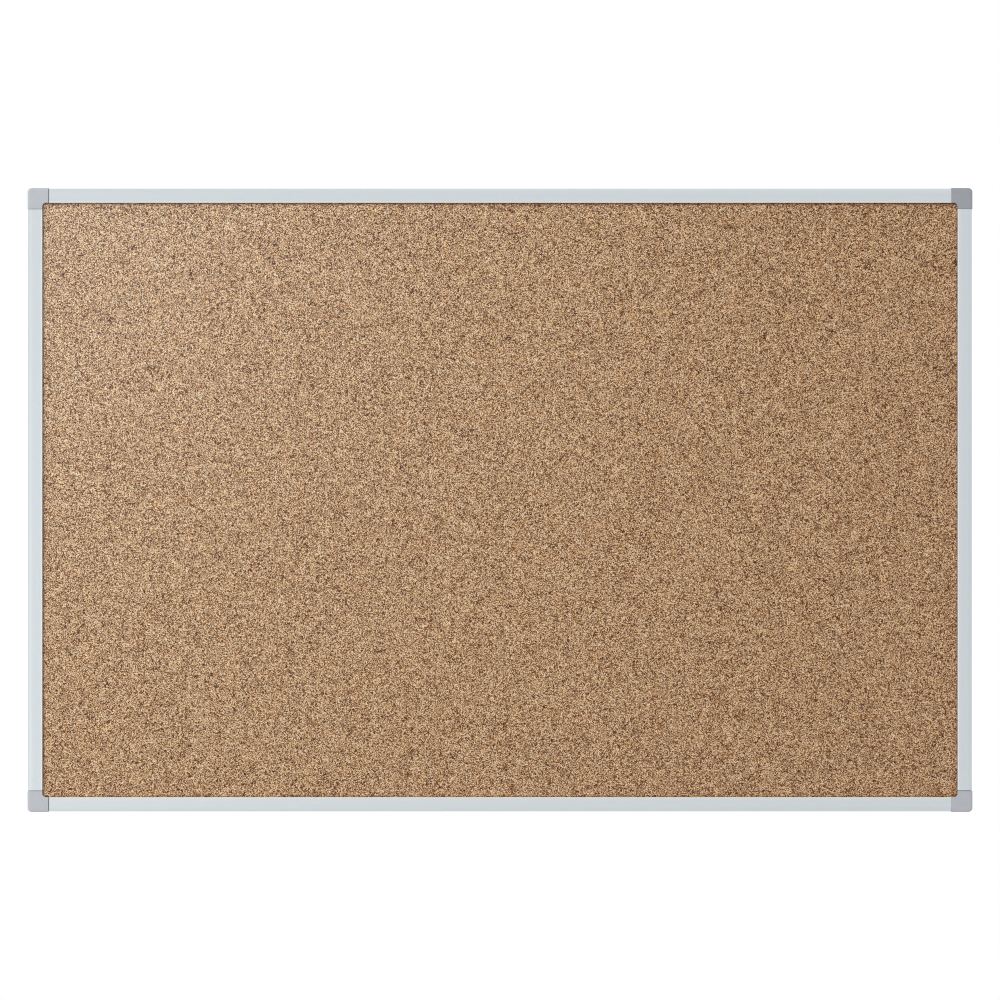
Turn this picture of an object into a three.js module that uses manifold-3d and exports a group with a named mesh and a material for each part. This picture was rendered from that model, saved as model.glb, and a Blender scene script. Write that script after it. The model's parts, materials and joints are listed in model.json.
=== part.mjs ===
// Cork bulletin board in a slim aluminium frame with moulded corner caps.
//
// Millimetres. +X runs along the width, +Z is up and the cork faces -Y. The origin is the
// centre of the board on the wall plane, which is the plane of the rails' rear faces.
//
// How it comes apart: each corner cap pulls straight off the front and uncovers a hole for a
// wall screw in the corner bracket under it. A bracket has two tangs, one in the hollow chamber
// of each rail, and a countersunk screw through the rail's rear wall holds each tang. With a
// rail off, the panel of cork sheet, core board and backing sheet slides out of the rails' slot.

import * as THREE from 'three';
import { mergeVertices } from 'three/addons/utils/BufferGeometryUtils.js';
import Module from 'manifold-3d';

const wasm = await Module();
wasm.setup();

// ---------------------------------------------------------------- driving dimensions

// Overall size, measured over the corner caps, and from the wall to the rails' front faces.
const BOARD_WIDTH = 904;
const BOARD_HEIGHT = 597;
const FRAME_DEPTH = 16;

// Rail section. "Inward" counts from a rail's outer face and "back" from its front face.
const RAIL_FACE = 13.6;
const OUTER_WALL = 1.2;
const FRONT_WALL = 1.4;
const REAR_WALL = 1.6;
const CHAMBER_WIDTH = 8.6;
const INNER_WALL = 1.2;
const SHOULDER_WIDTH = 4.5;
const SHOULDER_DROP = 1.2;
const LIP_RADIUS = 0.6;
const LIP_DEPTH = 2.4;
const LIP_THICKNESS = 1.4;

// Clear gap between a rail's end and the cap beside it. A rail's start is its end on the left
// when the rail is seen along the top of the board.
const RAIL_GAPS = {
  top: { start: 0.6, end: 0.12 },
  right: { start: 0.1, end: 0.6 },
  bottom: { start: 0.12, end: 0.6 },
  left: { start: 0.5, end: 0.3 },
};

// Corner caps.
const CAP_LEG = 20;
const CAP_PROUD = 0.6;
const CAP_FRONT_PROUD = 0.4;
const CAP_WALL = 1.6;
const CAP_CORNER_RADIUS = 4;
const CAP_FILLET = 3.5;
const CAP_SHOULDER_WIDTH = 3.4;
const CAP_WALL_GAP = 0.3;
const PEG_RADIUS = 1.5;
const PEG_LENGTH = 6;
const PEG_TAPER = 0.6;
const PEG_ALONG = 16;

// Corner brackets.
const BRACKET_CLEARANCE = 0.3;
const TANG_LENGTH = 36;
const TANG_WALL = 1.6;
const TANG_CHAMFER = 1.5;
const POCKET_FLOOR = 4;
const SCREW_SEAT_BACK = 6.5;
const WALL_SCREW_HOLE_RADIUS = 3.2;

// Countersunk screws that hold the tangs, from the end of the cap's leg.
const SCREW_FROM_CAP = 15;
const SCREW_HEAD_RADIUS = 2.8;
const SCREW_SHANK_RADIUS = 1.45;
const SCREW_HEAD_HEIGHT = 1.35;
const SCREW_LENGTH = 10;
const SCREW_POINT_LENGTH = 2;
const SCREW_SUNK = 0.1;
const SCREW_CLEARANCE = 0.2;
const CROSS_REACH = 1.6;
const CROSS_WIDTH = 0.8;
const CROSS_DEPTH = 0.9;

// Panel layers. The core board takes the depth that the other two leave in the slot.
const CORK_THICKNESS = 2.5;
const BACKING_THICKNESS = 1;
const GLUE_LINE = 0.1;
const PANEL_PLAY = 0.2;
const PANEL_EDGE_PLAY = 0.3;

// Straight steps in a quarter turn of an outline, and sides of a turned piece.
const CURVE_STEPS = 5;
const TURNED_SIDES = 20;

// How far a cutting tool runs past the face it cuts.
const OVERSHOOT = 1;

// ---------------------------------------------------------------- worked-out dimensions

const SLOT_WALL = OUTER_WALL + CHAMBER_WIDTH + INNER_WALL;
const CHAMBER_MIDDLE = OUTER_WALL + CHAMBER_WIDTH / 2;
const SLOT_REAR = FRAME_DEPTH - REAR_WALL;
const OPENING_EDGE = CAP_PROUD + RAIL_FACE;
const TANG_MIDDLE = CAP_PROUD + CHAMBER_MIDDLE;
const TANG_HALF_WIDTH = CHAMBER_WIDTH / 2 - BRACKET_CLEARANCE;
const TANG_TIP = CAP_LEG + TANG_LENGTH;
const TANG_FRONT = FRONT_WALL + BRACKET_CLEARANCE;
const TANG_REAR = SLOT_REAR - BRACKET_CLEARANCE;
const BLOCK_OUTER = CAP_WALL + BRACKET_CLEARANCE;
const BLOCK_INNER = CAP_PROUD + SLOT_WALL;
const SCREW_ALONG = CAP_LEG + SCREW_FROM_CAP;
const WALL_SCREW_PLACE = (BLOCK_OUTER + BLOCK_INNER) / 2;

// ---------------------------------------------------------------- directions

const X = new THREE.Vector3(1, 0, 0);
const Y = new THREE.Vector3(0, 1, 0);
const DOWN = new THREE.Vector3(0, 0, -1);

// ---------------------------------------------------------------- solids

// A closed three.js geometry as a solid that can be joined and cut.
function solid(geometry) {
  geometry.deleteAttribute('normal');
  geometry.deleteAttribute('uv');
  const merged = mergeVertices(geometry, 1e-4);
  const corners = merged.index.array;
  const triangles = [];
  for (let i = 0; i < corners.length; i += 3) {
    const [a, b, c] = corners.slice(i, i + 3);
    if (a !== b && b !== c && c !== a) {
      triangles.push(a, b, c);
    }
  }
  return new wasm.Manifold(new wasm.Mesh({
    numProp: 3,
    vertProperties: new Float32Array(merged.attributes.position.array),
    triVerts: new Uint32Array(triangles),
  }));
}

// A shape drawn on the plane of two directions, as a prism between two distances square to it.
function prism(shape, across, up, from, to, bevel = { bevelEnabled: false }) {
  const geometry = new THREE.ExtrudeGeometry(shape, {
    depth: to - from,
    curveSegments: CURVE_STEPS,
    ...bevel,
  });
  geometry.translate(0, 0, from);
  const along = new THREE.Vector3().crossVectors(across, up);
  geometry.applyMatrix4(new THREE.Matrix4().makeBasis(across, up, along));
  return solid(geometry);
}

// A prism over the plan of a corner: the shape's x runs inward from the side and its y inward
// from the top, and the prism runs from front to back.
function cornerPrism(shape, from, to, bevel) {
  return prism(shape, X, DOWN, from, to, bevel);
}

// A piece turned about +Y, from points of [radius, height] that run up the axis.
function turned(points) {
  const profile = points.map(([radius, height]) => new THREE.Vector2(radius, height));
  return solid(new THREE.LatheGeometry(profile, TURNED_SIDES));
}

// The same solid mirrored across the corner's diagonal, so that x and -z change places.
function acrossDiagonal(piece) {
  const swap = new THREE.Matrix4().set(
    0, 0, -1, 0,
    0, 1, 0, 0,
    -1, 0, 0, 0,
    0, 0, 0, 1,
  );
  return piece.transform(swap.elements);
}

function bothLegs(piece) {
  return piece.add(acrossDiagonal(piece));
}

function joined(pieces) {
  return pieces.reduce((whole, piece) => whole.add(piece));
}

function mesh(name, piece, finish) {
  const data = piece.getMesh();
  const geometry = new THREE.BufferGeometry();
  geometry.setAttribute('position', new THREE.BufferAttribute(data.vertProperties, 3));
  geometry.setIndex(new THREE.BufferAttribute(data.triVerts, 1));
  geometry.computeVertexNormals();
  const result = new THREE.Mesh(geometry, new THREE.MeshStandardMaterial(finish));
  result.name = name;
  return result;
}

// ---------------------------------------------------------------- finishes

const ANODISED = { color: 0xd0d5d8, roughness: 0.38, metalness: 0.9, flatShading: true };
const CAP_GREY = { color: 0xb4b8bd, roughness: 0.5, metalness: 0, flatShading: true };
const BRACKET_GREY = { color: 0x4a4c4f, roughness: 0.55, metalness: 0, flatShading: true };
const ZINC = { color: 0xbfc1bd, roughness: 0.35, metalness: 1, flatShading: true };
const CORK = { color: 0xaa8a69, roughness: 0.95, metalness: 0, flatShading: true };
const SOFTBOARD = { color: 0x8c7556, roughness: 1, metalness: 0, flatShading: true };
const BACKING = { color: 0x8a6a4a, roughness: 0.85, metalness: 0, flatShading: true };

// ---------------------------------------------------------------- outlines

function rectangle(x0, y0, x1, y1) {
  const shape = new THREE.Shape();
  shape.moveTo(x0, y0);
  shape.lineTo(x1, y0);
  shape.lineTo(x1, y1);
  shape.lineTo(x0, y1);
  shape.closePath();
  return shape;
}

// A square from one inset corner to a far corner, with its first corner rounded.
function roundedSquare(inset, far) {
  const centre = CAP_CORNER_RADIUS;
  const shape = new THREE.Shape();
  shape.absarc(centre, centre, CAP_CORNER_RADIUS - inset, Math.PI, 1.5 * Math.PI, false);
  shape.lineTo(far, inset);
  shape.lineTo(far, far);
  shape.lineTo(inset, far);
  shape.closePath();
  return shape;
}

// The L of a corner, over both rails' faces: rounded outside, filleted where the cork shows.
// The insets move its outer and its inner edge into the L.
function cornerOutline(outerInset, innerInset, legEnd) {
  const inner = OPENING_EDGE - innerInset;
  const filletCentre = OPENING_EDGE + CAP_FILLET;
  const filletRadius = CAP_FILLET + innerInset;
  const centre = CAP_CORNER_RADIUS;
  const shape = new THREE.Shape();
  shape.absarc(centre, centre, CAP_CORNER_RADIUS - outerInset, Math.PI, 1.5 * Math.PI, false);
  shape.lineTo(legEnd, outerInset);
  shape.lineTo(legEnd, inner);
  shape.absarc(filletCentre, filletCentre, filletRadius, 1.5 * Math.PI, Math.PI, true);
  shape.lineTo(inner, legEnd);
  shape.lineTo(outerInset, legEnd);
  shape.closePath();
  return shape;
}

// The rail's section, with x inward and y back. The front has a wide soft shoulder on the
// outside and a rounded lip on the inside, which turns back towards the cork.
function railSection() {
  const shape = new THREE.Shape();
  shape.moveTo(0, FRAME_DEPTH);
  shape.lineTo(0, SHOULDER_DROP);
  shape.absellipse(SHOULDER_WIDTH, SHOULDER_DROP, SHOULDER_WIDTH, SHOULDER_DROP,
    Math.PI, 1.5 * Math.PI, false, 0);
  shape.absarc(RAIL_FACE - LIP_RADIUS, LIP_RADIUS, LIP_RADIUS, 1.5 * Math.PI, 2 * Math.PI, false);
  shape.lineTo(RAIL_FACE, LIP_DEPTH);
  shape.lineTo(RAIL_FACE - LIP_THICKNESS, LIP_DEPTH);
  shape.lineTo(RAIL_FACE - LIP_THICKNESS, FRONT_WALL);
  shape.lineTo(SLOT_WALL, FRONT_WALL);
  shape.lineTo(SLOT_WALL, SLOT_REAR);
  shape.lineTo(RAIL_FACE, SLOT_REAR);
  shape.lineTo(RAIL_FACE, FRAME_DEPTH);
  shape.closePath();

  const chamber = new THREE.Path();
  chamber.moveTo(OUTER_WALL, FRONT_WALL);
  chamber.lineTo(OUTER_WALL + CHAMBER_WIDTH, FRONT_WALL);
  chamber.lineTo(OUTER_WALL + CHAMBER_WIDTH, SLOT_REAR);
  chamber.lineTo(OUTER_WALL, SLOT_REAR);
  chamber.closePath();
  shape.holes.push(chamber);
  return shape;
}

// A tang's plan, along one leg of the corner, with its tip chamfered to find the chamber.
function tangOutline() {
  const low = TANG_MIDDLE - TANG_HALF_WIDTH;
  const high = TANG_MIDDLE + TANG_HALF_WIDTH;
  const root = BLOCK_INNER - BRACKET_CLEARANCE;
  const shape = new THREE.Shape();
  shape.moveTo(root, low);
  shape.lineTo(TANG_TIP - TANG_CHAMFER, low);
  shape.lineTo(TANG_TIP, low + TANG_CHAMFER);
  shape.lineTo(TANG_TIP, high - TANG_CHAMFER);
  shape.lineTo(TANG_TIP - TANG_CHAMFER, high);
  shape.lineTo(root, high);
  shape.closePath();
  return shape;
}

// The driver's cross, as the two bars that make it.
function crossBars() {
  return [
    rectangle(-CROSS_REACH, -CROSS_WIDTH / 2, CROSS_REACH, CROSS_WIDTH / 2),
    rectangle(-CROSS_WIDTH / 2, -CROSS_REACH, CROSS_WIDTH / 2, CROSS_REACH),
  ];
}

// ---------------------------------------------------------------- pieces

// The countersink that a screw's head sits in and the hole for its shank. The height of the
// head's face is 0 and the screw points down the axis.
function screwHole(clearance, depth) {
  const head = SCREW_HEAD_RADIUS + clearance;
  const shank = SCREW_SHANK_RADIUS + clearance;
  return turned([
    [0, -depth],
    [shank, -depth],
    [shank, -SCREW_SUNK - SCREW_HEAD_HEIGHT],
    [head, -SCREW_SUNK],
    [head, OVERSHOOT],
    [0, OVERSHOOT],
  ]);
}

function tangScrew() {
  const body = turned([
    [0, -SCREW_LENGTH],
    [SCREW_SHANK_RADIUS, -SCREW_LENGTH + SCREW_POINT_LENGTH],
    [SCREW_SHANK_RADIUS, -SCREW_SUNK - SCREW_HEAD_HEIGHT],
    [SCREW_HEAD_RADIUS, -SCREW_SUNK],
    [0, -SCREW_SUNK],
  ]);
  const cross = joined(crossBars().map((bar) => cornerPrism(bar, -CROSS_DEPTH, OVERSHOOT)));
  return body.subtract(cross);
}

// A rail lies along x with its ends short of the two caps, and its middle at x = 0. Its outer
// face is at z = 0 and its front at y = 0.
function rail(boardLength, gaps) {
  const capEdge = boardLength / 2 - CAP_LEG;
  const bar = prism(railSection(), DOWN, Y, -capEdge + gaps.start, capEdge - gaps.end);
  const hole = screwHole(SCREW_CLEARANCE, REAR_WALL + OVERSHOOT);
  const holePlace = boardLength / 2 - SCREW_ALONG;
  return [-holePlace, holePlace].reduce(
    (whole, x) => whole.subtract(hole.translate([x, FRAME_DEPTH, -CHAMBER_MIDDLE])),
    bar,
  );
}

// One of the two round pegs that push into the bracket's sockets. It starts half way through
// the cap's face, to be one body with it.
function capPeg() {
  const root = (CAP_WALL - CAP_FRONT_PROUD) / 2;
  const tip = CAP_WALL - CAP_FRONT_PROUD + PEG_LENGTH;
  return turned([
    [0, root],
    [PEG_RADIUS, root],
    [PEG_RADIUS, tip - PEG_TAPER],
    [PEG_RADIUS - PEG_TAPER, tip],
    [0, tip],
  ]).translate([PEG_ALONG, 0, -TANG_MIDDLE]);
}

// A cap is a thin shell: its face covers both rails' ends, two skirts cover the corner's outer
// sides, and a short lip turns back along the cork.
function cornerCap() {
  const front = -CAP_FRONT_PROUD;
  const rear = FRAME_DEPTH - CAP_WALL_GAP;
  const beyond = CAP_LEG + OVERSHOOT;
  const lipRear = LIP_DEPTH - PANEL_PLAY;

  // Both bevels run all round their prism, so each prism is made too large where its bevel
  // isn't wanted, and the next one trims it.
  const slab = cornerPrism(roundedSquare(0, 2 * CAP_LEG), front + SHOULDER_DROP, 2 * FRAME_DEPTH, {
    bevelSegments: CURVE_STEPS,
    bevelSize: CAP_SHOULDER_WIDTH,
    bevelOffset: -CAP_SHOULDER_WIDTH,
    bevelThickness: SHOULDER_DROP,
  });
  const softLip = cornerPrism(cornerOutline(-2 * LIP_RADIUS, 0, 2 * CAP_LEG), front + LIP_RADIUS,
    2 * FRAME_DEPTH, {
      bevelSegments: CURVE_STEPS,
      bevelSize: LIP_RADIUS,
      bevelOffset: -LIP_RADIUS,
      bevelThickness: LIP_RADIUS,
    });
  const legs = cornerPrism(rectangle(-OVERSHOOT, -OVERSHOOT, CAP_LEG, CAP_LEG),
    front - OVERSHOOT, rear);
  const face = slab.intersect(softLip).intersect(legs);

  const hollow = cornerPrism(roundedSquare(CAP_WALL, beyond), lipRear, rear + OVERSHOOT);
  const pocket = cornerPrism(cornerOutline(CAP_WALL, CAP_WALL, beyond),
    CAP_WALL - CAP_FRONT_PROUD, lipRear + OVERSHOOT);
  return face.subtract(hollow).subtract(pocket).add(bothLegs(capPeg()));
}

// One tang, hollowed from the front on both sides of the screw's boss. Up to the rail's end it
// is solid, with the socket for a cap's peg.
function bracketTang() {
  const bar = cornerPrism(tangOutline(), TANG_FRONT, TANG_REAR);
  const pocketLow = TANG_MIDDLE - TANG_HALF_WIDTH + TANG_WALL;
  const pocketHigh = TANG_MIDDLE + TANG_HALF_WIDTH - TANG_WALL;
  const bossHalf = SCREW_HEAD_RADIUS + TANG_WALL;
  const pocketSpans = [
    [CAP_LEG + 2 * TANG_WALL, SCREW_ALONG - bossHalf],
    [SCREW_ALONG + bossHalf, TANG_TIP - 2 * TANG_WALL],
  ];
  const pockets = joined(pocketSpans.map(([start, end]) => cornerPrism(
    rectangle(start, pocketLow, end, pocketHigh), TANG_FRONT - OVERSHOOT, TANG_REAR - POCKET_FLOOR,
  )));
  const socketRadius = PEG_RADIUS + SCREW_CLEARANCE;
  const socket = turned([
    [0, 0],
    [socketRadius, 0],
    [socketRadius, CAP_WALL + PEG_LENGTH + OVERSHOOT],
    [0, CAP_WALL + PEG_LENGTH + OVERSHOOT],
  ]).translate([PEG_ALONG, 0, -TANG_MIDDLE]);
  const pilot = turned([
    [0, -SCREW_LENGTH - OVERSHOOT],
    [SCREW_SHANK_RADIUS + SCREW_CLEARANCE, -SCREW_LENGTH - OVERSHOOT],
    [SCREW_SHANK_RADIUS + SCREW_CLEARANCE, 0],
    [0, 0],
  ]).translate([SCREW_ALONG, FRAME_DEPTH, -TANG_MIDDLE]);
  return bar.subtract(pockets).subtract(socket).subtract(pilot);
}

// The bracket's block is the seat of the wall screw, and its rear plate is flush with the
// rails' rear faces and holds the panel's corner.
function cornerBracket() {
  const legEnd = CAP_LEG - BRACKET_CLEARANCE;
  const block = cornerPrism(roundedSquare(BLOCK_OUTER, BLOCK_INNER), SCREW_SEAT_BACK, FRAME_DEPTH);
  const plate = cornerPrism(cornerOutline(BLOCK_OUTER, 0, legEnd), SLOT_REAR, FRAME_DEPTH);
  const neck = cornerPrism(
    rectangle(BLOCK_INNER - BRACKET_CLEARANCE, TANG_MIDDLE - TANG_HALF_WIDTH, legEnd,
      TANG_MIDDLE + TANG_HALF_WIDTH),
    TANG_REAR - OVERSHOOT, SLOT_REAR + OVERSHOOT,
  );
  const wallScrewHole = turned([
    [0, 0],
    [WALL_SCREW_HOLE_RADIUS, 0],
    [WALL_SCREW_HOLE_RADIUS, FRAME_DEPTH + OVERSHOOT],
    [0, FRAME_DEPTH + OVERSHOOT],
  ]).translate([WALL_SCREW_PLACE, 0, -WALL_SCREW_PLACE]);
  return block.add(plate).add(bothLegs(bracketTang().add(neck))).subtract(wallScrewHole);
}

// A layer of the panel, over the whole of the rails' slot.
function panelLayer(front, rear) {
  const edge = CAP_PROUD + SLOT_WALL + PANEL_EDGE_PLAY;
  const halfWidth = BOARD_WIDTH / 2 - edge;
  const halfHeight = BOARD_HEIGHT / 2 - edge;
  return cornerPrism(rectangle(-halfWidth, -halfHeight, halfWidth, halfHeight), front, rear);
}

// ---------------------------------------------------------------- assembly

const RIGHT_ANGLE = Math.PI / 2;

// Going round the board from the top left corner, each side and corner is the last one turned
// by a right angle.
const SIDES = [
  { name: 'top', length: BOARD_WIDTH, distance: BOARD_HEIGHT / 2 },
  { name: 'right', length: BOARD_HEIGHT, distance: BOARD_WIDTH / 2 },
  { name: 'bottom', length: BOARD_WIDTH, distance: BOARD_HEIGHT / 2 },
  { name: 'left', length: BOARD_HEIGHT, distance: BOARD_WIDTH / 2 },
];
const CORNERS = [
  { name: 'top_left', x: -1, z: 1 },
  { name: 'top_right', x: 1, z: 1 },
  { name: 'bottom_right', x: 1, z: -1 },
  { name: 'bottom_left', x: -1, z: -1 },
];

function makePanel() {
  const panel = new THREE.Group();
  const corkFront = LIP_DEPTH + PANEL_PLAY;
  const coreFront = corkFront + CORK_THICKNESS + GLUE_LINE;
  const backingRear = SLOT_REAR - PANEL_PLAY;
  const backingFront = backingRear - BACKING_THICKNESS;
  panel.add(mesh('cork_sheet', panelLayer(corkFront, coreFront - GLUE_LINE), CORK));
  panel.add(mesh('core_board', panelLayer(coreFront, backingFront - GLUE_LINE), SOFTBOARD));
  panel.add(mesh('backing_sheet', panelLayer(backingFront, backingRear), BACKING));
  return panel;
}

function makeSide(side, index) {
  const holder = new THREE.Group();
  holder.rotation.y = index * RIGHT_ANGLE;
  const piece = mesh(`rail_${side.name}`, rail(side.length, RAIL_GAPS[side.name]), ANODISED);
  piece.position.z = side.distance - CAP_PROUD;
  holder.add(piece);
  return holder;
}

function makeCorner(corner, index) {
  const holder = new THREE.Group();
  holder.position.set(corner.x * BOARD_WIDTH / 2, 0, corner.z * BOARD_HEIGHT / 2);
  holder.rotation.y = index * RIGHT_ANGLE;
  holder.add(mesh(`corner_bracket_${corner.name}`, cornerBracket(), BRACKET_GREY));
  holder.add(mesh(`corner_cap_${corner.name}`, cornerCap(), CAP_GREY));

  const screwPlaces = [[SCREW_ALONG, TANG_MIDDLE], [TANG_MIDDLE, SCREW_ALONG]];
  screwPlaces.forEach(([inFromSide, inFromTop], place) => {
    const screw = mesh(`tang_screw_${corner.name}_${place + 1}`, tangScrew(), ZINC);
    screw.position.set(inFromSide, FRAME_DEPTH, -inFromTop);
    holder.add(screw);
  });
  return holder;
}

const group = new THREE.Group();
group.name = 'cork_bulletin_board';
group.position.y = -FRAME_DEPTH;
group.add(makePanel());
SIDES.forEach((side, index) => group.add(makeSide(side, index)));
CORNERS.forEach((corner, index) => group.add(makeCorner(corner, index)));

export default group;
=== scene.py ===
# The looks of a cork bulletin board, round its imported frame. Metres, +Z up, cork facing -Y.

import json
import math

import bmesh
import bpy
import numpy as np
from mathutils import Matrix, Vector


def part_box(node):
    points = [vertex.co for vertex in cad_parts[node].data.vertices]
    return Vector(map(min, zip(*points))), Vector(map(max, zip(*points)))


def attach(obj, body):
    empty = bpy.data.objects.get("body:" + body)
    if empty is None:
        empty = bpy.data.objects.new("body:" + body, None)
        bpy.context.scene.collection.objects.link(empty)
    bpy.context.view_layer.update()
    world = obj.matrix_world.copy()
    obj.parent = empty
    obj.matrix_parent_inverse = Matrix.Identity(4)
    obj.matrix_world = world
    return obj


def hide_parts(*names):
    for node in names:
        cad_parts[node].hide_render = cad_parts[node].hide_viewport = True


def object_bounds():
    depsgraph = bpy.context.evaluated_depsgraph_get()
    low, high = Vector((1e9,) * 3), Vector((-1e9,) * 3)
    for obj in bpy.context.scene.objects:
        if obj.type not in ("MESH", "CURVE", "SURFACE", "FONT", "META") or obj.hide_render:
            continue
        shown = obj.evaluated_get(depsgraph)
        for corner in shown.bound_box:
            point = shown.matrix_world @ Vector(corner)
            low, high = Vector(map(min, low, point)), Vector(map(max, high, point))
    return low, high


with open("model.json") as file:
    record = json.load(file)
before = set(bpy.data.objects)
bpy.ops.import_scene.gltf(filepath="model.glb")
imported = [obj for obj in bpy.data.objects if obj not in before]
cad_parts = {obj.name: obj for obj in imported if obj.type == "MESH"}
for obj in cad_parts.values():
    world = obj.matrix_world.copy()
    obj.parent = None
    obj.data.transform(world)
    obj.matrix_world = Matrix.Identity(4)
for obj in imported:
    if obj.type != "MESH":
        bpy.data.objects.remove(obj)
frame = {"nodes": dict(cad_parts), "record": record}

CAD_LOW, CAD_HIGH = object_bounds()
RECORD = frame["record"]
MM = 0.001

# Pressed cork: the step of the relief's grid, and the height of its bumps by their width in steps.
CORK_STEP = 2.6 * MM
CORK_BUMPS = {1: 0.045 * MM, 3: 0.03 * MM, 9: 0.03 * MM}
CORK_HIGHEST = 0.12 * MM
CORK_JITTER = 0.25
CORK_SEED = 11

# The cork's average shade, and its granules: their size, and how far they spread shade and hue.
CORK_SHADE = 0.55
CORK_GRANULES = [(4.5 * MM, 0.07, 0.1), (0.7 * MM, 0.64, 0.22), (0.45 * MM, 0.42, 0.18)]
CORK_COLOURS = [
    (0.0, (0.04, 0.008, 0.001)),
    (0.25, (0.14, 0.041, 0.007)),
    (0.5, (0.31, 0.132, 0.041)),
    (0.75, (0.505, 0.27, 0.112)),
    (1.0, (0.71, 0.53, 0.34)),
]

# What a granule's colour is multiplied by where its hue is warm, and where it is cool.
CORK_WARM = (1.12, 0.98, 0.72)
CORK_COOL = (0.92, 1.0, 1.18)

# Clumps of bark in the cork: their size, how much of the cork they are, and how much darker.
BARK_SIZE = 2 * MM
BARK_SHARE = 0.06
BARK_DARKER = 0.42

# Painted shade along the frame, in place of the lip's shadow and the shaded recess under it: a warm
# darkening all round, darkest at the top and the left. How far it reaches in from each side, and its
# tint at the lip.
CORK_PAINTED_SHADE = {
    "top": (3.0 * MM, (0.52, 0.24, 0.06)),
    "left": (2.2 * MM, (0.5, 0.22, 0.06)),
    "right": (2.0 * MM, (0.9, 0.62, 0.32)),
    "bottom": (2.0 * MM, (1.0, 0.68, 0.25)),
}

# The edge breaks that moulding, sawing and deburring leave, by kind of piece.
EDGE_BREAKS = {
    "corner_cap": 0.15 * MM,
    "corner_bracket": 0.15 * MM,
    "rail": 0.08 * MM,
    "tang_screw": 0.06 * MM,
}
SHARP_ANGLE = math.radians(30)
WORN_REACH = 0.4 * MM

# Painted light and shade: the caps are one plastic, and each corner's cap gets its own grey for how
# brightly it is lit, darkest at the top right.
CAP_PAINTED_GREYS = {
    "top_left": (0.425, 0.44, 0.465),
    "top_right": (0.30, 0.315, 0.345),
    "bottom_right": (0.43, 0.44, 0.48),
    "bottom_left": (0.438, 0.453, 0.478),
}

# Camera: a long lens square to the board, whose caps take up this share of the frame's width.
BOARD_SHARE = 0.945
LENS = 200
SENSOR = 36

# The studio's brightness facing the board, and how much it changes along each axis.
STUDIO_LEVEL = 0.72
STUDIO_TILT = (-0.02, -0.13, 0.22)

# The floor: far enough below the board to stay out of the camera's own view.
FLOOR_HEIGHT = -1.0
FLOOR_RADIUS = 5.4


# ---------------------------------------------------------------- shader building

class Shader:
    """A material's node tree, with short calls for the nodes that this script uses."""

    def __init__(self, name):
        self.material = bpy.data.materials.new(name)
        self.material.use_nodes = True
        self.nodes = self.material.node_tree.nodes
        self.links = self.material.node_tree.links
        self.surface = self.nodes["Principled BSDF"]
        self.place = self.nodes.new("ShaderNodeTexCoord").outputs["Object"]

    def feed(self, socket, value):
        """Links a socket to another one, or sets its constant."""
        if isinstance(value, bpy.types.NodeSocket):
            self.links.new(value, socket)
        else:
            socket.default_value = value

    def node(self, kind, inputs, **settings):
        node = self.nodes.new(kind)
        for name, value in settings.items():
            setattr(node, name, value)
        for name, value in inputs.items():
            self.feed(node.inputs[name], value)
        return node

    def math(self, operation, a, b=0.0):
        return self.node("ShaderNodeMath", {0: a, 1: b}, operation=operation).outputs[0]

    def vector_math(self, operation, a, b):
        return self.node("ShaderNodeVectorMath", {0: a, 1: b}, operation=operation).outputs[0]

    def stretched(self, lengths):
        """Coordinates in which one unit is the given length along each axis."""
        scale = [1 / length for length in lengths]
        return self.vector_math("MULTIPLY", self.place, scale)

    def noise(self, place, size=1.0, detail=2.0, rough=0.5):
        """Soft noise with features of a size, about 0.5 on average."""
        inputs = {"Vector": place, "Scale": 1 / size, "Detail": detail, "Roughness": rough}
        return self.node("ShaderNodeTexNoise", inputs)

    def cells(self, place, size):
        """Cells of about a size, each with a random colour of its own."""
        return self.node("ShaderNodeTexVoronoi", {"Vector": place, "Scale": 1 / size})

    def remapped(self, value, from_low, from_high, to_low, to_high):
        inputs = {0: value, 1: from_low, 2: from_high, 3: to_low, 4: to_high}
        return self.node("ShaderNodeMapRange", inputs).outputs[0]

    def mixed(self, factor, a, b, blend="MIX"):
        node = self.node("ShaderNodeMix", {0: factor, 6: a, 7: b}, data_type="RGBA",
                         blend_type=blend)
        return node.outputs[2]

    def ramp(self, value, stops):
        """A colour for each value, from a list of (position, colour)."""
        node = self.node("ShaderNodeValToRGB", {0: value})
        elements = node.color_ramp.elements
        while len(elements) < len(stops):
            elements.new(0.5)
        for element, (position, colour) in zip(elements, stops):
            element.position = position
            element.color = (*colour, 1)
        return node.outputs[0]

    def roundness(self, radius):
        """1 where the surface is even, and less the sharper an edge is within the radius."""
        rounded = self.node("ShaderNodeBevel", {"Radius": radius}).outputs[0]
        normal = self.nodes.new("ShaderNodeNewGeometry").outputs["Normal"]
        inputs = {0: rounded, 1: normal}
        return self.node("ShaderNodeVectorMath", inputs, operation="DOT_PRODUCT").outputs["Value"]

    def bumped(self, height, distance, normal=None):
        inputs = {"Height": height, "Distance": distance, "Strength": 1.0}
        if normal is not None:
            inputs["Normal"] = normal
        return self.node("ShaderNodeBump", inputs).outputs[0]

    def finished(self, **inputs):
        """Feeds the surface shader; a socket's name is given with _ for each space."""
        for name, value in inputs.items():
            self.feed(self.surface.inputs[name.replace("_", " ")], value)
        return self.material


# ---------------------------------------------------------------- materials

def opening_edges():
    """Half the width and half the height of the opening between the rails."""
    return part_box("rail_right")[0].x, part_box("rail_top")[0].z


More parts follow.
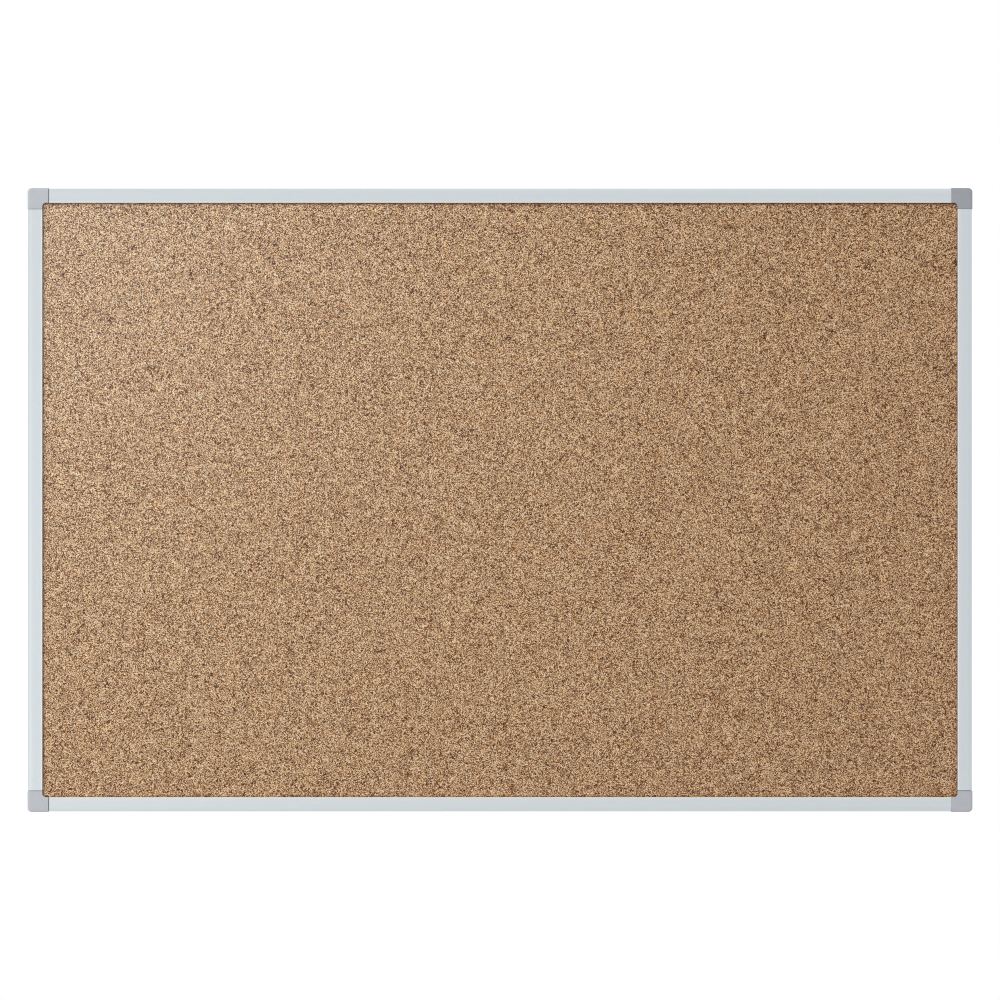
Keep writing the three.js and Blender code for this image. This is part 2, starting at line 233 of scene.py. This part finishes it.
def cork_material():
    """Pressed granules from cream to brown, with clumps of dark bark, and painted shade along the
    frame for the lip's shadow.
    """
    s = Shader("cork")
    wobble = s.noise(s.place, size=1.2 * MM, detail=1.0).outputs["Color"]
    wobble = s.vector_math("SUBTRACT", wobble, (0.5, 0.5, 0.5))
    wobble = s.vector_math("MULTIPLY", wobble, (0.8 * MM, 0.8 * MM, 0.8 * MM))
    place = s.vector_math("ADD", s.place, wobble)

    shade = CORK_SHADE
    hue = 0.5
    for size, share, hue_share in CORK_GRANULES:
        colour = s.cells(place, size).outputs["Color"]
        parts = s.node("ShaderNodeSeparateColor", {0: colour})
        shade = s.math("ADD", shade, s.remapped(parts.outputs[0], 0, 1, -share, share))
        hue = s.math("ADD", hue, s.remapped(parts.outputs[1], 0, 1, -hue_share, hue_share))
    chance = s.node("ShaderNodeSeparateColor", {0: s.cells(place, BARK_SIZE).outputs["Color"]})
    bark = s.math("GREATER_THAN", chance.outputs[0], 1 - BARK_SHARE)
    shade = s.math("SUBTRACT", shade, s.math("MULTIPLY", bark, BARK_DARKER))
    hue = s.math("ADD", hue, bark)
    cloud = s.noise(s.place, size=14 * MM, detail=3.0, rough=0.6).outputs[0]
    shade = s.math("ADD", shade, s.remapped(cloud, 0.2, 0.8, -0.05, 0.05))

    colour = s.ramp(shade, CORK_COLOURS)
    warm = s.mixed(1.0, colour, (*CORK_WARM, 1), blend="MULTIPLY")
    cool = s.mixed(1.0, colour, (*CORK_COOL, 1), blend="MULTIPLY")
    colour = s.mixed(hue, cool, warm)

    half_width, half_height = opening_edges()
    x, _, z = s.node("ShaderNodeSeparateXYZ", {0: s.place}).outputs
    from_lip = {
        "top": s.math("SUBTRACT", half_height, z),
        "left": s.math("ADD", half_width, x),
        "right": s.math("SUBTRACT", half_width, x),
        "bottom": s.math("ADD", half_height, z),
    }
    # painted shade: the cork's colour is darkened and warmed near each lip, most at the top and
    # left, for the lip's shadow
    for side, (reach, tint) in CORK_PAINTED_SHADE.items():
        painted_shade = s.remapped(from_lip[side], 0.3 * MM, reach, 1, 0)
        colour = s.mixed(painted_shade, colour, (*tint, 1), blend="MULTIPLY")

    normal = s.bumped(shade, 0.1 * MM)
    rough = s.remapped(shade, 0, 1, 0.86, 0.68)
    return s.finished(Base_Color=colour, Roughness=rough, Normal=normal, Specular_IOR_Level=0.12,
                      Coat_Weight=0.6, Coat_Roughness=0.45)


def anodised_material(name, lengthwise, across, opening_edge):
    """Satin anodised aluminium: faint extrusion lines along the rail and a painted highlight along
    the inner lip.
    """
    s = Shader(name)
    fine = [500 * MM if axis == lengthwise else 0.35 * MM for axis in "xyz"]
    broad = [900 * MM if axis == lengthwise else 3 * MM for axis in "xyz"]
    lines = s.noise(s.stretched(fine), detail=2.0).outputs[0]
    streaks = s.noise(s.stretched(broad), detail=2.0).outputs[0]
    mottle = s.noise(s.place, size=0.25 * MM, detail=1.0).outputs[0]
    colour = s.mixed(streaks, (0.68, 0.725, 0.745, 1), (0.74, 0.785, 0.80, 1))
    where = s.node("ShaderNodeSeparateXYZ", {0: s.place})
    out = s.math("ABSOLUTE", where.outputs["XYZ".index(across)])
    from_lip = s.math("SUBTRACT", out, opening_edge)
    # painted highlight: a lighter, bluer colour along the inner lip, for the bright line its rounded
    # edge catches
    lip_highlight = s.remapped(from_lip, 0.2 * MM, 1.6 * MM, 0.8, 0)
    colour = s.mixed(lip_highlight, colour, (0.88, 0.95, 1.0, 1))
    rough = s.math("ADD", s.remapped(lines, 0, 1, 0.38, 0.50),
                   s.remapped(mottle, 0, 1, -0.03, 0.03))
    normal = s.bumped(lines, 0.006 * MM, s.bumped(mottle, 0.004 * MM))
    return s.finished(Base_Color=colour, Metallic=1.0, Roughness=rough, Normal=normal)


def cap_material(corner):
    """Grey moulded plastic with a fine sparked texture, rubbed a little lighter on its edges; its
    grey is painted shade, set per corner.
    """
    s = Shader(f"cap_plastic_{corner}")
    # painted shade: this cap's grey is set by its corner, darker where less light falls
    grey = Vector(CAP_PAINTED_GREYS[corner])
    grain = s.noise(s.place, size=0.45 * MM, detail=3.0, rough=0.6).outputs[0]
    flow = s.noise(s.place, size=9 * MM, detail=2.0).outputs[0]
    colour = s.mixed(flow, (*(grey * 0.94), 1), (*(grey * 1.06), 1))
    wear = s.remapped(s.roundness(WORN_REACH), 0.99, 0.9, 0, 0.35)
    colour = s.mixed(wear, colour, (*(grey * 1.25), 1))
    rough = s.remapped(grain, 0.2, 0.8, 0.42, 0.58)
    normal = s.bumped(grain, 0.03 * MM)
    return s.finished(Base_Color=colour, Roughness=rough, Normal=normal)


def bracket_material():
    """Dark glass-filled plastic, scuffed grey on its edges."""
    s = Shader("bracket_plastic")
    grain = s.noise(s.place, size=0.6 * MM, detail=4.0, rough=0.65).outputs[0]
    flow = s.noise(s.place, size=12 * MM, detail=3.0).outputs[0]
    colour = s.mixed(flow, (0.055, 0.056, 0.06, 1), (0.085, 0.086, 0.09, 1))
    wear = s.remapped(s.roundness(WORN_REACH), 0.99, 0.9, 0, 0.5)
    colour = s.mixed(wear, colour, (0.16, 0.16, 0.165, 1))
    rough = s.remapped(grain, 0.2, 0.8, 0.45, 0.7)
    return s.finished(Base_Color=colour, Roughness=rough, Normal=s.bumped(grain, 0.04 * MM))


def zinc_material():
    """Zinc plate, a little yellow and mottled."""
    s = Shader("zinc_steel")
    mottle = s.noise(s.place, size=1.2 * MM, detail=4.0, rough=0.6).outputs[0]
    colour = s.mixed(mottle, (0.52, 0.52, 0.48, 1), (0.68, 0.68, 0.66, 1))
    rough = s.remapped(mottle, 0.2, 0.8, 0.28, 0.5)
    return s.finished(Base_Color=colour, Metallic=1.0, Roughness=rough,
                      Normal=s.bumped(mottle, 0.01 * MM))


def softboard_material():
    """Pressed wood fibre."""
    s = Shader("softboard")
    fibre = s.noise(s.stretched((4 * MM, 0.8 * MM, 1.2 * MM)), detail=5.0, rough=0.7).outputs[0]
    colour = s.mixed(fibre, (0.16, 0.105, 0.06, 1), (0.38, 0.28, 0.17, 1))
    return s.finished(Base_Color=colour, Roughness=0.95, Normal=s.bumped(fibre, 0.3 * MM))


def kraft_material():
    """Kraft paper over hardboard: fibres and strands, soft blotches and a few dark flecks."""
    s = Shader("kraft_backing")
    fibre = s.noise(s.stretched((7 * MM, 1 * MM, 0.7 * MM)), detail=4.0, rough=0.65).outputs[0]
    strand = s.noise(s.stretched((26 * MM, 4 * MM, 3 * MM)), detail=3.0, rough=0.6).outputs[0]
    blotch = s.noise(s.place, size=45 * MM, detail=4.0, rough=0.55).outputs[0]
    paper = s.math("ADD", fibre, s.remapped(strand, 0.25, 0.75, -0.3, 0.3))
    colour = s.mixed(paper, (0.27, 0.165, 0.085, 1), (0.43, 0.29, 0.165, 1))
    tint = s.mixed(blotch, (0.82, 0.80, 0.77, 1), (1.14, 1.14, 1.14, 1))
    colour = s.mixed(1.0, colour, tint, blend="MULTIPLY")
    fleck = s.cells(s.stretched((2.2 * MM, 1.5 * MM, 1.2 * MM)), 1.0)
    chosen = s.node("ShaderNodeSeparateColor", {0: fleck.outputs["Color"]}).outputs[0]
    rare = s.remapped(chosen, 0.95, 0.96, 0, 1)
    inside = s.remapped(fleck.outputs["Distance"], 0.18, 0.3, 0.6, 0)
    colour = s.mixed(s.math("MULTIPLY", rare, inside), colour, (0.09, 0.05, 0.025, 1))
    rough = s.remapped(fibre, 0.2, 0.8, 0.75, 0.9)
    return s.finished(Base_Color=colour, Roughness=rough, Normal=s.bumped(fibre, 0.06 * MM))


def floor_material():
    s = Shader("pale_floor")
    mottle = s.noise(s.place, size=0.3, detail=3.0).outputs[0]
    colour = s.mixed(mottle, (0.80, 0.80, 0.80, 1), (0.83, 0.83, 0.83, 1))
    return s.finished(Base_Color=colour, Roughness=0.8)


# ---------------------------------------------------------------- pieces

def body_of(node):
    bodies = RECORD["behaviour"]["bodies"]
    return next(body for body, members in bodies.items() if node in members)


def add_piece(name, mesh, node, material):
    """A new piece that stands for a CAD node and rides on its body."""
    mesh.materials.append(material)
    piece = bpy.data.objects.new(name, mesh)
    bpy.context.scene.collection.objects.link(piece)
    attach(piece, body_of(node))
    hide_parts(node)
    return piece


def finished_part(node, material):
    """The CAD node's own shape with its edges broken and its round stretches shaded smooth."""
    mesh = bpy.data.meshes.new(f"{node}_finished")
    shape = bmesh.new()
    shape.from_mesh(frame["nodes"][node].data)
    bmesh.ops.remove_doubles(shape, verts=shape.verts, dist=0.002 * MM)
    bmesh.ops.dissolve_limit(shape, angle_limit=math.radians(0.5), verts=shape.verts,
                             edges=shape.edges)
    shape.to_mesh(mesh)
    shape.free()
    mesh.shade_smooth()
    mesh.set_sharp_from_angle(angle=SHARP_ANGLE)

    piece = add_piece(f"{node}_finished", mesh, node, material)
    width = next(size for kind, size in EDGE_BREAKS.items() if node.startswith(kind))
    bevel = piece.modifiers.new("edge_break", "BEVEL")
    bevel.width = width
    bevel.segments = 2
    bevel.limit_method = "ANGLE"
    bevel.angle_limit = SHARP_ANGLE
    bevel.use_clamp_overlap = True
    even = piece.modifiers.new("even_shading", "WEIGHTED_NORMAL")
    even.weight = 90
    return piece


def grid_noise(random, shape, width):
    """Random heights over a grid, smooth over a number of steps."""
    rows, columns = shape
    coarse = random.standard_normal((rows // width + 2, columns // width + 2))
    across = np.arange(columns) / width
    down = np.arange(rows) / width
    lines = np.array([np.interp(across, range(len(line)), line) for line in coarse])
    return np.array([np.interp(down, range(len(line)), line) for line in lines.T]).T


def cork_relief(random, shape):
    """The height of the cork's surface over its flat face, none of it high enough for the lip."""
    relief = sum(height * grid_noise(random, shape, width) for width, height in CORK_BUMPS.items())
    return np.clip(relief, -2 * CORK_HIGHEST, CORK_HIGHEST)


def cork_sheet():
    """The cork as a closed sheet with the relief of its granules on the front."""
    low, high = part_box("cork_sheet")
    columns = round((high.x - low.x) / CORK_STEP) + 1
    rows = round((high.z - low.z) / CORK_STEP) + 1
    random = np.random.default_rng(CORK_SEED)
    x, z = np.meshgrid(np.linspace(low.x, high.x, columns), np.linspace(low.z, high.z, rows))
    for places in (x, z):
        inner = places[1:-1, 1:-1]
        inner += CORK_JITTER * CORK_STEP * random.uniform(-1, 1, inner.shape)
    y = low.y - cork_relief(random, x.shape)
    front = np.stack([x, y, z], axis=-1).reshape(-1, 3)

    index = np.arange(rows * columns).reshape(rows, columns)
    quads = np.stack([index[:-1, :-1], index[:-1, 1:], index[1:, 1:], index[1:, :-1]], axis=-1)
    edge = [*index[0, :-1], *index[:-1, -1], *index[-1, :0:-1], *index[:0:-1, 0]]
    back_edge = range(len(front), len(front) + len(edge))
    back = [(front[i][0], high.y, front[i][2]) for i in edge]
    faces = quads.reshape(-1, 4).tolist()
    for k in range(len(edge)):
        after = (k + 1) % len(edge)
        faces.append([edge[after], edge[k], back_edge[k], back_edge[after]])
    faces.append(list(reversed(back_edge)))

    mesh = bpy.data.meshes.new("cork_surface")
    mesh.from_pydata([*front.tolist(), *back], [], faces)
    mesh.shade_smooth()
    mesh.set_sharp_from_angle(angle=SHARP_ANGLE)
    return add_piece("cork_surface", mesh, "cork_sheet", cork_material())


def build_pieces():
    half_width, half_height = opening_edges()
    lying = anodised_material("anodised_lying_rail", "x", "Z", half_height)
    upright = anodised_material("anodised_upright_rail", "z", "X", half_width)
    for side, material in (("top", lying), ("right", upright), ("bottom", lying), ("left", upright)):
        finished_part(f"rail_{side}", material)
    bracket = bracket_material()
    zinc = zinc_material()
    for corner in CAP_PAINTED_GREYS:
        finished_part(f"corner_cap_{corner}", cap_material(corner))
        finished_part(f"corner_bracket_{corner}", bracket)
        finished_part(f"tang_screw_{corner}_1", zinc)
        finished_part(f"tang_screw_{corner}_2", zinc)
    for node, material in (("core_board", softboard_material()),
                           ("backing_sheet", kraft_material())):
        frame["nodes"][node].material_slots[0].material = material
    return cork_sheet()


# ---------------------------------------------------------------- stage, light and camera

def add_floor():
    bpy.ops.mesh.primitive_circle_add(vertices=96, radius=FLOOR_RADIUS, fill_type="NGON",
                                      location=(0, 0, FLOOR_HEIGHT))
    floor = bpy.context.object
    floor.name = "floor"
    floor.data.materials.append(floor_material())


def add_world():
    """A bright studio, lighter above and on the left. Behind the board the camera sees white."""
    world = bpy.data.worlds.new("studio")
    world.use_nodes = True
    nodes = world.node_tree.nodes
    links = world.node_tree.links
    nodes.clear()
    direction = nodes.new("ShaderNodeTexCoord")
    tilt = nodes.new("ShaderNodeVectorMath")
    tilt.operation = "DOT_PRODUCT"
    tilt.inputs[1].default_value = STUDIO_TILT
    links.new(direction.outputs["Generated"], tilt.inputs[0])
    level = nodes.new("ShaderNodeMath")
    level.inputs[1].default_value = STUDIO_LEVEL
    links.new(tilt.outputs["Value"], level.inputs[0])
    light = nodes.new("ShaderNodeBackground")
    light.inputs["Color"].default_value = (0.98, 0.99, 1, 1)
    links.new(level.outputs[0], light.inputs["Strength"])
    backdrop = nodes.new("ShaderNodeBackground")
    backdrop.inputs["Color"].default_value = (1, 1, 1, 1)
    path = nodes.new("ShaderNodeLightPath")
    mix = nodes.new("ShaderNodeMixShader")
    links.new(path.outputs["Is Camera Ray"], mix.inputs[0])
    links.new(light.outputs[0], mix.inputs[1])
    links.new(backdrop.outputs[0], mix.inputs[2])
    output = nodes.new("ShaderNodeOutputWorld")
    links.new(mix.outputs[0], output.inputs["Surface"])
    bpy.context.scene.world = world


def add_soft_light(name, place, aim, size, power):
    lamp = bpy.data.lights.new(name, "AREA")
    lamp.shape = "DISK"
    lamp.size = size
    lamp.energy = power
    light = bpy.data.objects.new(name, lamp)
    light.location = place
    light.rotation_euler = (Vector(aim) - Vector(place)).to_track_quat("-Z", "Y").to_euler()
    light.visible_camera = False
    bpy.context.scene.collection.objects.link(light)
    return light


def add_window(cork):
    """A low window on the left, whose sheen hazes the cork's top left corner."""
    window = add_soft_light("window", place=(-0.72, -1.6, 0.5), aim=(-0.4, 0, 0.25), size=0.5,
                            power=2)
    window.data.color = (0.5, 0.8, 1)
    window.data.spread = math.radians(70)
    only_cork = bpy.data.collections.new("window_falls_on")
    only_cork.objects.link(cork)
    window.light_linking.receiver_collection = only_cork


def add_camera():
    """Square to the board's front, at the distance that gives it its share of the frame."""
    camera = bpy.data.cameras.new("camera")
    camera.lens = LENS
    camera.sensor_width = SENSOR
    camera.clip_end = 100
    view_width = (CAD_HIGH.x - CAD_LOW.x) / BOARD_SHARE
    holder = bpy.data.objects.new("camera", camera)
    holder.location = (0, CAD_LOW.y - view_width * LENS / SENSOR, 0)
    holder.rotation_euler = (math.radians(90), 0, 0)
    bpy.context.scene.collection.objects.link(holder)
    bpy.context.scene.camera = holder


def set_stage(cork):
    add_camera()
    add_floor()
    add_world()
    key = add_soft_light("key", place=(-2.3, -1.4, 1.5), aim=(-0.3, 0, 0), size=1.2, power=37)
    key.visible_glossy = False
    add_soft_light("fill", place=(-1.5, -2.2, -0.3), aim=(-0.3, 0, 0), size=2, power=4)
    add_window(cork)
    bpy.context.scene.view_settings.view_transform = "Standard"
    bpy.context.scene.cycles.pixel_filter_type = "BOX"
    bpy.context.scene.cycles.denoising_prefilter = "NONE"


cork = build_pieces()
set_stage(cork)
